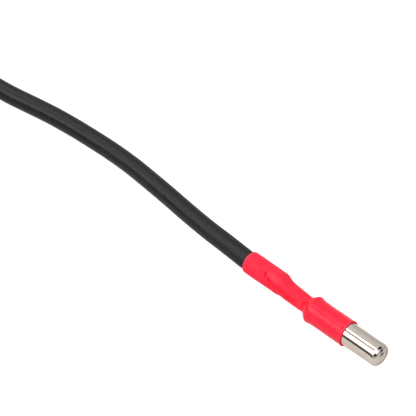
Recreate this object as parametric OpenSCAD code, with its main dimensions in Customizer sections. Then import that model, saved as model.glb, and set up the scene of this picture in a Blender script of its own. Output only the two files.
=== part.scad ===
// Cable temperature probe: a drawn metal cap with the sensing bead potted in it, joined to a round
// two-core cable by a recovered shrink sleeve. The spare cable lies behind it as a tied hank.
// Millimetres. +X runs along the probe to its tip, +Z is up, z = 0 is the surface it lies on.

/* [Sheath] */
// Outside diameter of the metal cap
sheath_d = 6; // [5.6:0.1:6.6]
// Length of the cap from its open mouth to its tip
sheath_len = 22.3; // [21.5:0.1:25]
// Wall of the drawn cap
sheath_wall = 0.3; // [0.2:0.05:0.45]
// Radius between the cap's side and its end
sheath_corner_r = 1.2; // [0.8:0.1:1.4]
// How far the middle of the end stands proud of its rim
sheath_dome = 0.15; // [0.05:0.05:0.4]
// How far the mouth is belled out, on the radius
mouth_flare = 0.2; // [0.1:0.02:0.3]
// Length of the belled stretch at the mouth
mouth_flare_len = 1.6; // [1:0.1:2.4]
// How much the drawing draft adds to the radius under the sleeve
draft = 0.03; // [0.02:0.01:0.06]

/* [Sensing bead] */
// Diameter of the coated bead
bead_d = 2.8; // [2.2:0.1:3.4]
// Length of the coated bead
bead_len = 3.4; // [3:0.1:4]
// Clearance between the bead and the cap's end
bead_gap = 0.4; // [0.2:0.1:1]
// Diameter of the bead's leads
lead_d = 0.35; // [0.25:0.05:0.5]
// How far a lead runs into the bead
lead_in_bead = 0.9; // [0.5:0.1:1.4]
// Bare lead between the bead and its solder joint
lead_len = 2.8; // [2:0.1:3.6]
// Diameter of a solder joint
joint_d = 1.2; // [1.1:0.05:1.35]
// Length of a solder joint
joint_len = 3.2; // [2.6:0.1:3.8]
// Outside diameter of the small sleeve over a solder joint
joint_sleeve_d = 1.8; // [1.6:0.05:1.88]
// How far the small sleeve covers past each end of the joint
joint_cover = 0.4; // [0.2:0.1:0.8]
// Distance of the resin's surface inside the mouth
resin_recess = 0.5; // [0.2:0.1:1.5]

/* [Cable] */
// Outside diameter of the cable
cable_d = 4.9; // [4.7:0.05:5.1]
// Outside diameter of one insulated core
core_d = 1.9; // [1.7:0.05:1.95]
// Diameter of the stranded conductor in a core
conductor_d = 0.95; // [0.7:0.05:1.05]
// Clearance between the two cores
core_gap = 0.06; // [0.05:0.01:0.12]
// Length of jacket held in the shrink sleeve
jacket_grip = 11; // [9:0.5:13]
// Height of the cable's middle where it leaves the sleeve
jacket_z = 3.05; // [2.95:0.05:3.4]
// How far the cable leaves the sleeve to the side of the sheath's axis
jacket_side = 1.23; // [0.6:0.01:1.4]

/* [Shrink sleeve] */
// Length of the recovered sleeve
sleeve_len = 33.8; // [33:0.1:35]
// Length of metal left bare in front of the sleeve, with its end
bare_len = 10.6; // [9.5:0.1:12]
// Wall of the sleeve over the metal
sleeve_wall = 0.33; // [0.25:0.01:0.45]
// Wall of the sleeve over the cable
sleeve_wall_cable = 0.41; // [0.3:0.01:0.55]
// Wall of the sleeve over the two cores
sleeve_wall_neck = 0.5; // [0.4:0.05:0.7]
// Clearance between the sleeve and what it grips
sleeve_fit = 0.03; // [0.025:0.005:0.04]
// How far out of square the sleeve's rear end is cut
rear_slant = 0.7; // [0:0.1:1]
// Length of the gather from the cable's end down to the cores
rear_gather = 3.8; // [3.4:0.1:4.6]
// Length of the gather from the cores up to the mouth
front_gather = 2.1; // [1.8:0.1:2.6]

/* [Wire ends] */
// Length of the insulated cores bared at the far end
tail_core_len = 13; // [11:0.5:15]
// Length of tinned conductor bared on each core
tinned_len = 5; // [4:0.5:6]
// Diameter of a tinned conductor
tinned_d = 1; // [0.8:0.05:1.1]
// Angle by which each core turns away from the cable
splay_deg = 10; // [6:1:14]
// Radius on which a core turns away
splay_r = 12; // [10:1:16]

/* [Hank] */
// Spacing of the turns, middle to middle
turn_pitch = 5; // [5:0.1:5.3]
// Radius of the inner turns round an end of the hank
fold_r = 14.8; // [14.7:0.1:16]
// Radius by which the turns draw in to the tie
waist_r = 19.7; // [19.7:0.1:24]
// Layers of turns
layers = 2; // [2:1:2]
// Width of the tie's strap
tie_w = 3.6; // [2.5:0.1:4.8]
// Thickness of the tie's strap
tie_t = 1.1; // [0.8:0.1:1.4]
// Length of the tie's head along the strap
tie_head = 5.4; // [4.6:0.1:6]
// Height of the tie's head above the strap
tie_head_h = 3; // [2.4:0.1:3.6]
// Clearance between the strap and the cable
tie_fit = 0.1; // [0.05:0.05:0.2]

/* [Hidden] */
$fn = 96;
tiny = 0.01;
side_a = 1;
side_b = -1;

// Radii
sheath_r = sheath_d / 2;
cable_r = cable_d / 2;
core_r = core_d / 2;
mouth_r = sheath_r + mouth_flare;
core_off = (core_d + core_gap) / 2;
lump_r = mouth_r + sleeve_fit + sleeve_wall;
sleeve_cable_r = cable_r + sleeve_fit + sleeve_wall_cable;

// Places along the probe. The box of sheath and sleeve is centred on the origin.
whole_len = sleeve_len + bare_len;
tip_x = whole_len / 2;
rear_x = -whole_len / 2;
front_x = tip_x - bare_len;
mouth_x = tip_x - sheath_len;
jacket_end_x = rear_x + jacket_grip;

// Middle of the sheath, and of the cable where the sleeve holds it
sheath_y = (lump_r - jacket_side - sleeve_cable_r) / 2;
sheath_z = lump_r;
jacket_y = sheath_y + jacket_side;

// The inside of the cap, from the tip back
bore_r = sheath_r - sheath_wall;
bore_end_x = tip_x - sheath_wall;
bead_x = bore_end_x - bead_gap - bead_len;
joint_front_x = bead_x - lead_len;
joint_rear_x = joint_front_x - joint_len;
core_cut_x = joint_rear_x - joint_cover;
joint_half = joint_len / 2;
joint_gap = 0.1;

// The cores shift across in the neck: half of it right in front of the cable's end, half further on
shift_half_x = jacket_end_x + 4.6;
shift_late_x = jacket_end_x + 3;
shift_front_x = mouth_x - 0.8;

// Route of the cable from the sleeve to the hank. It lies on the surface.
lie_z = 2.5;
cable_route = [
    [-30, 1.6, 2.8], [-37, 2.1, 2.6], [-44, 2.8, lie_z], [-51, 3.6, lie_z], [-58, 4.3, lie_z],
    [-65, 4.9, lie_z], [-72, 5.1, lie_z], [-79, 4.9, lie_z], [-86, 4.5, lie_z], [-93, 3.8, lie_z],
    [-100, 2.7, lie_z], [-107, 1.6, lie_z], [-114, 1.2, lie_z], [-121, 2.2, lie_z]
];
tube_sides = 12;
x_axis = [1, 0, 0];

// The hank: each turn is two large arcs joined by two arcs that draw in at the waist
route_end = cable_route[len(cable_route) - 1];
lead_deg = 10;
lead_len_hank = 16;
skin = 0.05;
outer_fold_r = fold_r + turn_pitch;
hank_r = outer_fold_r + cable_r + skin;
waist_y = turn_pitch / 2 + waist_r;
fold_x = sqrt(pow(fold_r + waist_r, 2) - pow(waist_y, 2));
lead_dir = [-cos(lead_deg), sin(lead_deg)];
lead_side = [-sin(lead_deg), -cos(lead_deg)];
near_fold = [route_end[0], route_end[1]] + lead_len_hank * lead_dir + outer_fold_r * lead_side;
hank_mid = near_fold - [fold_x, 0];
hank_h = 2 * lie_z + (layers - 1) * turn_pitch;
eye_r = fold_r - cable_r;
hollow_r = waist_r - turn_pitch - cable_r;
waist_w = 2 * (waist_y - hollow_r);
meet_x = fold_x * (1 - hank_r / (hank_r + hollow_r));
meet_y = waist_y * hank_r / (hank_r + hollow_r);
bundle_len = 12;
lap = 1;
bundle_z = tie_t + tie_fit;

// The tail leaves the top layer and comes down to the surface
tail_start = [near_fold[0] + 14.5, near_fold[1] - outer_fold_r, lie_z + turn_pitch];
tail_drop_len = 21.5;
tail_drop = turn_pitch * (layers - 1);
tail_steps = 8;
function even_bend(t) = t < 0.5 ? 2 * t * t : 1 - 2 * (1 - t) * (1 - t);
tail_route = [for (i = [0:tail_steps]) tail_start
    + [tail_drop_len * i / tail_steps, 0, -tail_drop * even_bend(i / tail_steps)]];
tail_end = tail_route[tail_steps];
tail_straight = 3;
splay_turn = splay_r * PI * splay_deg / 180;

// A round bar along +X from x0 to x1, with its middle at [y, z]
module bar(x0, x1, r, y, z) {
    translate([x0, y, z])
        rotate([0, 90, 0])
            cylinder(h = x1 - x0, r = r);
}

// Half section of the cap: radius across, length up, from the mouth at 0
module cap_outline(r, corner, len, flare, sleeve_at) {
    side = len - corner - sheath_dome;
    flat_r = r - corner;
    cap_r = (pow(flat_r, 2) + pow(sheath_dome, 2)) / (2 * sheath_dome);
    square([flat_r, len - sheath_dome]);
    translate([0, sleeve_at])
        square([r, side - sleeve_at]);
    translate([flat_r, side])
        intersection() {
            circle(r = corner);
            square(2 * corner);
        }
    intersection() {
        translate([0, len - cap_r])
            circle(r = cap_r);
        translate([0, side])
            square([flat_r, len]);
    }
    if (flare > 0)
        polygon([[0, 0], [r + flare, 0], [r + draft, mouth_flare_len], [r, sleeve_at], [0, sleeve_at]]);
    else
        square([r, sleeve_at]);
}

module sheath() {
    color("silver")
        translate([mouth_x, sheath_y, sheath_z])
            rotate([0, 90, 0])
                rotate_extrude()
                    difference() {
                        cap_outline(sheath_r, sheath_corner_r, sheath_len, mouth_flare, front_x - mouth_x);
                        translate([0, -tiny])
                            cap_outline(bore_r, sheath_corner_r - sheath_wall,
                                sheath_len - sheath_wall + tiny, 0, 1);
                    }
}

// The bead is a capsule along the sheath's axis
module bead_form() {
    cap = bead_d / 2;
    bar(bead_x + cap, bead_x + bead_len - cap, cap, sheath_y, sheath_z);
    for (x = [bead_x + cap, bead_x + bead_len - cap])
        translate([x, sheath_y, sheath_z])
            sphere(r = cap);
}

module lead_form(side) {
    bar(joint_front_x - joint_half + joint_gap, bead_x + lead_in_bead, lead_d / 2,
        sheath_y + side * core_off, sheath_z);
}

module thermistor_bead() {
    color("black")
        difference() {
            bead_form();
            lead_form(side_a);
            lead_form(side_b);
        }
}

module thermistor_lead(side) {
    color("lightgray")
        lead_form(side);
}

// The line that a core follows back from x_front to the jacket, by the stations of the sleeve round it
function core_line(x_front, side) =
    let (xs = concat([x_front], [for (i = [len(stations) - 1:-1:0])
        if (stations[i] > jacket_end_x - tiny && stations[i] < mouth_x + tiny) stations[i]]))
    [for (x = xs) let (mid = mid_at(x)) [x, mid[0] + side * core_off, mid[1]]];

module conductor(side) {
    color("peru")
        tube(core_line(joint_rear_x + joint_half - joint_gap, side), conductor_d / 2, 0, -x_axis, -x_axis);
}

module core(side) {
    color(side > 0 ? "brown" : "royalblue")
        tube(core_line(core_cut_x, side), core_r, conductor_d / 2, -x_axis, -x_axis);
}

module solder_joint(side) {
    color("gainsboro")
        difference() {
            bar(joint_rear_x, joint_front_x, joint_d / 2, sheath_y + side * core_off, sheath_z);
            lead_form(side);
            bar(joint_rear_x - 1, joint_rear_x + joint_half - joint_gap, conductor_d / 2,
                sheath_y + side * core_off, sheath_z);
        }
}

module joint_sleeve(side) {
    color("ivory")
        difference() {
            bar(core_cut_x, joint_front_x + joint_cover, joint_sleeve_d / 2,
                sheath_y + side * core_off, sheath_z);
            bar(core_cut_x - 1, joint_front_x + joint_cover + 1, joint_d / 2,
                sheath_y + side * core_off, sheath_z);
        }
}

// Resin fills the cap round everything in it, up to its surface just inside the mouth
module potting() {
    fill_x = mouth_x + resin_recess;
    color("dimgray")
        difference() {
            translate([fill_x, sheath_y, sheath_z])
                rotate([0, 90, 0])
                    rotate_extrude()
                        cap_outline(bore_r, sheath_corner_r - sheath_wall,
                            bore_end_x - fill_x, 0, 1);
            bead_form();
            for (side = [side_a, side_b]) {
                lead_form(side);
                bar(fill_x - 1, core_cut_x, core_r, sheath_y + side * core_off, sheath_z);
                bar(core_cut_x - tiny, joint_front_x + joint_cover, joint_sleeve_d / 2,
                    sheath_y + side * core_off, sheath_z);
            }
        }
}

// Smooth step from 0 to 1 as x goes from a to b
function ease(x, a, b) = let (t = min(1, max(0, (x - a) / (b - a)))) t * t * (3 - 2 * t);

// Section of the sleeve at x. Its outline is the round of radius r, parted by spread to each side.
neck_rear_x = jacket_end_x + rear_gather;
neck_front_x = mouth_x - front_gather;
full_x = mouth_x - 0.05;
crest_x = mouth_x + 0.5;
function in_neck(x) = x < crest_x ? ease(x, jacket_end_x, neck_rear_x) - ease(x, neck_front_x, full_x)
    : 0;
function flare_at(x) = x < mouth_x + mouth_flare_len
    ? mouth_flare - (mouth_flare - draft) * max(0, x - mouth_x) / mouth_flare_len
    : draft * (front_x - x) / (front_x - mouth_x - mouth_flare_len);
function grip_r(x) = x > neck_front_x ? sheath_r + flare_at(x) : cable_r;
function hollow_at(x) = core_r + (grip_r(x) - core_r) * (1 - in_neck(x)) + sleeve_fit;
function wall_at(x) =
    let (full = x > neck_front_x ? sleeve_wall : sleeve_wall_cable)
    full + (sleeve_wall_neck - full) * in_neck(x);
function spread_at(x) = core_off * in_neck(x);
function mid_at(x) =
    let (t = (ease(x, jacket_end_x, shift_half_x) + ease(x, shift_late_x, shift_front_x)) / 2)
    [jacket_y + (sheath_y - jacket_y) * t, jacket_z + (sheath_z - jacket_z) * t];

// The stations of the loft, closer together where the sleeve gathers
sleeve_sides = 40;
slant_deg = 110;
stations = concat(
    [for (i = [0:5]) rear_x + i * jacket_grip / 6],
    [for (i = [0:7]) jacket_end_x + i * rear_gather / 7],
    [for (i = [1:6]) neck_rear_x + i * (neck_front_x - neck_rear_x) / 6],
    [for (i = [1:8]) neck_front_x + i * front_gather / 8],
    [for (i = [1:4]) mouth_x + i * 2.3 / 4],
    [for (i = [1:5]) mouth_x + 2.3 + i * (front_x - mouth_x - 2.3) / 5]
);

function sleeve_ring(x, r, spread) =
    let (mid = mid_at(x), slant = rear_slant * (1 - ease(x, rear_x, rear_x + 6)))
    [for (k = [0:sleeve_sides - 1])
        let (a = 360 * k / sleeve_sides, reach = cos(a) > tiny ? spread : cos(a) < -tiny ? -spread : 0)
        [x + slant * (1 - cos(a - slant_deg)) / 2, mid[0] + reach + r * cos(a), mid[1] + r * sin(a)]];

// Faces of a closed skin whose rings follow one another and end where they began
function ring_faces(rings, sides, closed) = [
    for (i = [0:rings - (closed ? 1 : 2)], k = [0:sides - 1])
        let (j = (i + 1) % rings, m = (k + 1) % sides)
        [i * sides + k, i * sides + m, j * sides + m, j * sides + k]
];

module shrink_sleeve() {
    count = len(stations);
    outside = [for (x = stations) sleeve_ring(x, hollow_at(x) + wall_at(x), spread_at(x))];
    inside = [for (i = [count - 1:-1:0]) let (x = stations[i]) sleeve_ring(x, hollow_at(x), spread_at(x))];
    rings = concat(outside, inside);
    color("crimson")
        polyhedron([for (ring = rings) each ring], ring_faces(len(rings), sleeve_sides, true), convexity = 6);
}

// A round tube swept along points. Its first and last rings lie square to first and last.
function unit(v) = v / norm(v);
function along(points, i, first, last) =
    i == 0 ? unit(first) : i == len(points) - 1 ? unit(last) : unit(points[i + 1] - points[i - 1]);
function tube_ring(p, t, r) =
    let (across = unit(cross([0, 0, 1], t)), up = cross(t, across))
    [for (k = [0:tube_sides - 1])
        let (a = 360 * k / tube_sides)
        p + r * cos(a) * across + r * sin(a) * up];

module tube(points, r, bore, first, last) {
    count = len(points);
    outside = [for (i = [0:count - 1]) tube_ring(points[i], along(points, i, first, last), r)];
    inside = [for (i = [count - 1:-1:0]) tube_ring(points[i], along(points, i, first, last), bore)];
    rings = bore > 0 ? concat(outside, inside) : outside;
    ends = bore > 0 ? [] : [
        [for (k = [tube_sides - 1:-1:0]) k],
        [for (k = [0:tube_sides - 1]) (count - 1) * tube_sides + k]
    ];
    polyhedron([for (ring = rings) each ring],
        concat(ends, ring_faces(len(rings), tube_sides, bore > 0)), convexity = 6);
}

module cable() {
    held = [for (x = [jacket_end_x, (jacket_end_x + rear_x) / 2, rear_x]) [x, jacket_y, jacket_z]];
    color([0.2, 0.2, 0.2])
        tube(concat(held, cable_route), cable_r, 0, -x_axis, [lead_dir[0], lead_dir[1], 0]);
}

module cable_tail() {
    color([0.2, 0.2, 0.2])
        tube(tail_route, cable_r, 0, x_axis, x_axis);
}

// Outline of the hank seen from above, about its middle
module hank_outline() {
    difference() {
        union() {
            square([2 * meet_x, 2 * meet_y], center = true);
            for (end = [-1, 1])
                translate([end * fold_x, 0])
                    circle(r = hank_r);
        }
        for (end = [-1, 1]) {
            translate([end * fold_x, 0])
                circle(r = eye_r);
            translate([0, end * waist_y])
                circle(r = hollow_r);
        }
    }
}

// A band of the given length along X, w wide and h high, with its long edges rounded to r
module rounded_band(len, w, h, r) {
    for (y = [-1, 1], z = [0, 1])
        bar(-len / 2, len / 2, r, y * (w / 2 - r), z * (h - 2 * r) + r);
    translate([-len / 2, -w / 2, r])
        cube([len, w, h - 2 * r]);
    translate([-len / 2, -w / 2 + r, 0])
        cube([len, w - 2 * r, h]);
}

module cable_hank() {
    color([0.22, 0.22, 0.22]) {
        difference() {
            translate([hank_mid[0], hank_mid[1], 0])
                linear_extrude(hank_h)
                    hank_outline();
            translate([hank_mid[0] - bundle_len / 2 + lap, hank_mid[1] - waist_w, -1])
                cube([bundle_len - 2 * lap, 2 * waist_w, hank_h + 2]);
        }
        translate([hank_mid[0], hank_mid[1], bundle_z])
            rounded_band(bundle_len, waist_w, hank_h, cable_r);
        translate([route_end[0], route_end[1], lie_z])
            rotate([0, 0, -lead_deg])
                bar(-lead_len_hank - lap, 0, cable_r, 0, 0);
        bar(near_fold[0] - lap, tail_start[0], cable_r, tail_start[1], tail_start[2]);
    }
}

// The tie is one moulding: a strap round the waist, its head and the cut end in the head
module hank_tie() {
    strap_w = waist_w + 2 * tie_fit;
    strap_h = hank_h + 2 * tie_fit;
    head_w = tie_w + 1.6;
    color("black")
        translate([hank_mid[0], hank_mid[1], 0]) {
            difference() {
                rounded_band(tie_w, strap_w + 2 * tie_t, strap_h + 2 * tie_t, cable_r + tie_t);
                translate([0, 0, tie_t])
                    rounded_band(tie_w + 2, strap_w, strap_h, cable_r);
            }
            translate([-head_w / 2, -tie_head / 2, strap_h + 2 * tie_t - tiny])
                cube([head_w, tie_head, tie_head_h]);
            translate([-tie_w / 2, -tie_t / 2, strap_h + 2 * tie_t + tie_head_h - 2 * tiny])
                cube([tie_w, tie_t, tie_t]);
        }
}

// Place of a core at the far end, at length s along it: straight, round the splay, straight again
function splay_at(s, side) =
    let (a = min(splay_deg, max(0, s - tail_straight) / splay_r * 180 / PI),
        straight = min(s, tail_straight),
        rest = max(0, s - tail_straight - splay_turn))
    tail_end + [
        straight + splay_r * sin(a) + rest * cos(splay_deg),
        side * (core_off + splay_r * (1 - cos(a)) + rest * sin(splay_deg)),
        0
    ];

module tail_core(side) {
    bend = [for (i = [0:3]) tail_straight + i * splay_turn / 3];
    color(side > 0 ? "brown" : "royalblue")
        tube([for (s = concat([0], bend, [tail_core_len])) splay_at(s, side)], core_r, 0,
            x_axis, [cos(splay_deg), side * sin(splay_deg), 0]);
}

module tinned_end(side) {
    color("lightgray")
        translate(splay_at(tail_core_len, side))
            rotate([0, 0, side * splay_deg])
                bar(0, tinned_len, tinned_d / 2, 0, 0);
}

sheath();
potting();
thermistor_bead();
thermistor_lead(side_a);  // thermistor_lead_a
thermistor_lead(side_b);  // thermistor_lead_b
solder_joint(side_a);  // solder_joint_a
solder_joint(side_b);  // solder_joint_b
joint_sleeve(side_a);  // joint_sleeve_a
joint_sleeve(side_b);  // joint_sleeve_b
conductor(side_a);  // conductor_a
conductor(side_b);  // conductor_b
core(side_a);  // core_a
core(side_b);  // core_b
shrink_sleeve();
cable();
cable_hank();
cable_tail();
hank_tie();
tail_core(side_a);  // tail_core_a
tail_core(side_b);  // tail_core_b
tinned_end(side_a);  // tinned_end_a
tinned_end(side_b);  // tinned_end_b
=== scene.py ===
# %% [markdown]
# A cable temperature probe: a polished metal cap, a red shrink sleeve and a black two-core cable.
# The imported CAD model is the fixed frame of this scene. It is loaded first and never moved. Its box is
# kept, so that the finished scene can be compared with it at the end.

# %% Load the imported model
import math

import bpy
import numpy as np
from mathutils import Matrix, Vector


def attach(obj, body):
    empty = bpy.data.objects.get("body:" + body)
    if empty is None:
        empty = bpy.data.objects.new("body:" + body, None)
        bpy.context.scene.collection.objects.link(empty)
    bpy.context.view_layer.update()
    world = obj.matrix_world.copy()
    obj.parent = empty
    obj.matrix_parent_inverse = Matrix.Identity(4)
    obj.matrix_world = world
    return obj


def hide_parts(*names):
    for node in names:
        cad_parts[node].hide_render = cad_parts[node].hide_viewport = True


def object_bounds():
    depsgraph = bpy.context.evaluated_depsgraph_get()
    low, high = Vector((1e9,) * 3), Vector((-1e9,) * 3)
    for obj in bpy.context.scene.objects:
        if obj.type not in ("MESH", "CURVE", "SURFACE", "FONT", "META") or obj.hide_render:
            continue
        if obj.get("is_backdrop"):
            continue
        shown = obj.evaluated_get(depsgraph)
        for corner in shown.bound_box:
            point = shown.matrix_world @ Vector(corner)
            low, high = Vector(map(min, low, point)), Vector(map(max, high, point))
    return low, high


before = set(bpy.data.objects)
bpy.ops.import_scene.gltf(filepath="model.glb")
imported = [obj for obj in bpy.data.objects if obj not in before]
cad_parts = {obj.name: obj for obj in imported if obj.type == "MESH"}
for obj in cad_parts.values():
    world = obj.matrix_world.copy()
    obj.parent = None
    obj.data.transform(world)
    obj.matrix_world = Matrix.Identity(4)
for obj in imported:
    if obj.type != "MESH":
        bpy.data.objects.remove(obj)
cad_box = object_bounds()
MM = 0.001
print("nodes:", len(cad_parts))

# %% [markdown]
# The photograph looks down on the probe from its front right, through a long lens. A camera can be moved
# by eye until a render looks right, or aimed with a Track To constraint. Here two angles, a distance and
# a target say all of it, because such numbers can be worked out: they come from the two rims of the cap
# and the run of the cable in the picture.

# %% Camera
AZIMUTH, ELEVATION = math.radians(42.87), math.radians(47.71)
TARGET = Vector((-43.35, 9.05, 0.03)) * MM
DISTANCE = 0.8


def toward_camera(azimuth, elevation):
    """Unit vector from the target to the camera: azimuth turns it about Z, elevation lifts it."""
    flat = math.cos(elevation)
    return Vector((math.sin(azimuth) * flat, -math.cos(azimuth) * flat, math.sin(elevation)))


def make_camera():
    """A long lens at DISTANCE from the target, turned so that its -Z axis points at the target."""
    data = bpy.data.cameras.new("camera")
    data.sensor_width = data.sensor_height = 36.0
    data.lens = 276.7
    data.clip_start, data.clip_end = 0.01, 20.0
    camera = bpy.data.objects.new("camera", data)
    bpy.context.scene.collection.objects.link(camera)
    back = toward_camera(AZIMUTH, ELEVATION)
    camera.location = TARGET + back * DISTANCE
    camera.rotation_euler = back.to_track_quat("Z", "Y").to_euler()
    bpy.context.scene.camera = camera
    return camera


camera = make_camera()
print("camera at", [round(v / MM, 1) for v in camera.location])

# %% [markdown]
# Every curved piece here is a grid of points: one parameter runs along it and one runs round it. Blender's
# curves and its Screw modifier make such forms too, but in a grid a formula decides where each point
# lies, and that is needed for creases. A few small helpers turn a grid into a closed mesh, so that no
# piece needs a loop over its points. The grids are in millimetres, and the mesh is in metres.

# %% Helpers for grids
def to_object(name, points, faces, smooth=True):
    """A mesh object at the origin from an array of points in millimetres and a list of faces."""
    mesh = bpy.data.meshes.new(name)
    mesh.from_pydata((np.asarray(points, float).reshape(-1, 3) * MM).tolist(), [], faces)
    mesh.update()
    mesh.polygons.foreach_set("use_smooth", np.full(len(mesh.polygons), smooth))
    piece = bpy.data.objects.new(name, mesh)
    bpy.context.scene.collection.objects.link(piece)
    return piece


def grid_faces(rows, cols, ring=False):
    """Quads between neighbouring rows and columns. Columns wrap round, and rows do too if ring is set."""
    row = np.arange(rows if ring else rows - 1)[:, None]
    col = np.arange(cols)[None, :]
    after, beside = (row + 1) % rows, (col + 1) % cols
    here, ahead = row * cols, after * cols
    return np.stack([here + col, here + beside, ahead + beside, ahead + col], -1).reshape(-1, 4).tolist()


def end_caps(rows, cols):
    """One many-sided face over the first row and one over the last, both turned outwards."""
    first = list(range(cols))[::-1]
    last = list(range((rows - 1) * cols, rows * cols))
    return [first, last]


def smooth_step(x, low, high):
    """0 below low, 1 above high, and t * t * (3 - 2 * t) between them."""
    t = np.clip((np.asarray(x, float) - low) / (high - low), 0.0, 1.0)
    return t * t * (3.0 - 2.0 * t)


def even_bend(x, low, high):
    """0 below low, 1 above high, and one even bend each way between: 2 * t * t up to the middle, and
    1 - 2 * (1 - t) * (1 - t) from there."""
    t = np.clip((np.asarray(x, float) - low) / (high - low), 0.0, 1.0)
    return np.where(t < 0.5, 2 * t * t, 1 - 2 * (1 - t) ** 2)


def tube_points(line, radius, cols):
    """Rings about a line: each point is the line plus radius times (cos a * side + sin a * up). Side is
    square to the line and level, and up is square to both. The radius has a row for each point of the
    line, and one column or a column for each angle."""
    tangent = np.gradient(line, axis=0)
    tangent /= np.linalg.norm(tangent, axis=1)[:, None]
    side = np.cross(np.array([0.0, 0.0, 1.0]), tangent)
    side /= np.linalg.norm(side, axis=1)[:, None]
    up = np.cross(tangent, side)
    angle = np.linspace(0, 2 * np.pi, cols, endpoint=False)[None, :, None]
    spoke = np.cos(angle) * side[:, None] + np.sin(angle) * up[:, None]
    return line[:, None] + radius[..., None] * spoke


def resample(line, step):
    """The same line with points an even step apart by its running length, and that length."""
    run = np.concatenate([[0], np.cumsum(np.linalg.norm(np.diff(line, axis=0), axis=1))])
    count = int(round(run[-1] / step)) + 1
    marks = np.linspace(0, run[-1], count)
    return np.stack([np.interp(marks, run, line[:, i]) for i in range(3)], 1), run[-1]


# %% [markdown]
# The cable is one metre of round two-core flex. The picture shows about 86 mm of it between the sleeve
# and its left edge. The rest is put away behind the view as a small tied hank: four turns in two layers,
# drawn in at the middle, with the bare end beside it. A simulated rope would lie more loosely, but it
# would have to be found again for each change. Here the line is made of arcs and a few points, so that
# its length and its tightest bend are known. It comes first, because all else on the cable follows it.

# %% Line of the cable
CABLE_R = 2.45
LIE_Z = 2.5  # height of the cable's middle where it lies on the floor
PITCH = 5.0  # from turn to turn in the hank, across and up
REAR_X, JACKET_END = -22.2, -11.2  # the sleeve's rear end, and the jacket's end inside it
EXIT_Y, EXIT_Z = 0.95, 3.05  # middle of the cable where the sleeve holds it
held = [[x, EXIT_Y, EXIT_Z] for x in (JACKET_END, -16.7, REAR_X)]
route = [
    [-30, 1.6, 2.8], [-37, 2.1, 2.6], [-44, 2.8, LIE_Z], [-51, 3.6, LIE_Z], [-58, 4.3, LIE_Z],
    [-65, 4.9, LIE_Z], [-72, 5.1, LIE_Z], [-79, 4.9, LIE_Z], [-86, 4.5, LIE_Z], [-93, 3.8, LIE_Z],
    [-100, 2.7, LIE_Z], [-107, 1.6, LIE_Z], [-114, 1.2, LIE_Z], [-121, 2.2, LIE_Z],
]
# the cable runs straight into the hank, 10 degrees off the probe's own line
LEAD, LEAD_LEN = math.radians(10), 16
lead_dir = np.array([-math.cos(LEAD), math.sin(LEAD), 0.0])
lead_side = np.array([-math.sin(LEAD), -math.cos(LEAD), 0.0])
# each fold of the hank turns about one point, and so does each side where the tie draws it in
OUTER_R, INNER_R, WAIST_R = 19.8, 14.8, 19.7
near_fold = np.array(route[-1]) + LEAD_LEN * lead_dir + OUTER_R * lead_side
WAIST_Y = PITCH / 2 + WAIST_R
FOLD_X = math.sqrt((INNER_R + WAIST_R) ** 2 - WAIST_Y**2)
hank_mid = near_fold - np.array([FOLD_X, 0, 0])
MEET = math.atan2(WAIST_Y, FOLD_X)  # direction in which a fold's arc and a side's arc meet
TIE_LIFT = 1.2  # the strap of the tie under the turns, with its gap


def through(points, per_span=14):
    """A smooth line through points: each span is a cubic whose end slopes are half the step between
    the neighbouring points."""
    p = np.asarray(points, float)
    slope = np.gradient(p, axis=0)
    t = np.linspace(0, 1, per_span, endpoint=False)[None, :, None]
    a, b, m, n = p[:-1, None], p[1:, None], slope[:-1, None], slope[1:, None]
    line = ((2 * t**3 - 3 * t**2 + 1) * a + (t**3 - 2 * t**2 + t) * m
            + (3 * t**2 - 2 * t**3) * b + (t**3 - t**2) * n)
    return np.concatenate([line.reshape(-1, 3), p[-1:]])


def arc(centre, radius, start, end, z, count=40):
    """Points round centre from the angle start to the angle end. Radius and height may be arrays."""
    angle = np.linspace(start, end, count)
    x, y = centre[0] + radius * np.cos(angle), centre[1] + radius * np.sin(angle)
    return np.stack([x, y, z + 0 * angle], 1)


def over_tie(line):
    """The turns ride up over the strap: all of TIE_LIFT within 3 mm of the middle, none beyond 24 mm."""
    lifted = line.copy()
    lifted[:, 2] += TIE_LIFT * (1 - even_bend(np.abs(line[:, 0] - hank_mid[0]), 3, 24))
    return lifted


def turn(radius, z, start, end, last_radius=None, last_z=None, shift=(0, 1), climb=(0, 1)):
    """One turn: out along one side, round the far fold, back along the other side and round the near
    fold. There the radius eases to its last value between the two angles of shift, and the height
    between those of climb, in degrees."""
    waist = FOLD_X / math.cos(MEET) - radius
    far = hank_mid - np.array([FOLD_X, 0, 0])
    above, below = hank_mid + np.array([0, WAIST_Y, 0]), hank_mid - np.array([0, WAIST_Y, 0])
    angle = np.linspace(-math.pi + MEET, end, 70)
    r = radius + ((last_radius or radius) - radius) * even_bend(np.degrees(angle), *shift)
    h = z + ((last_z or z) - z) * even_bend(np.degrees(angle), *climb)
    return np.concatenate([
        arc(near_fold, radius, start, math.pi - MEET, z, 24)[:-1],
        arc(above, waist, -MEET, -math.pi + MEET, z)[:-1],
        arc(far, radius, MEET, 2 * math.pi - MEET, z, 60)[:-1],
        arc(below, waist, math.pi - MEET, MEET, z)[:-1],
        arc(near_fold, r, -math.pi + MEET, end, h, 70)[:-1],
    ])


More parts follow.
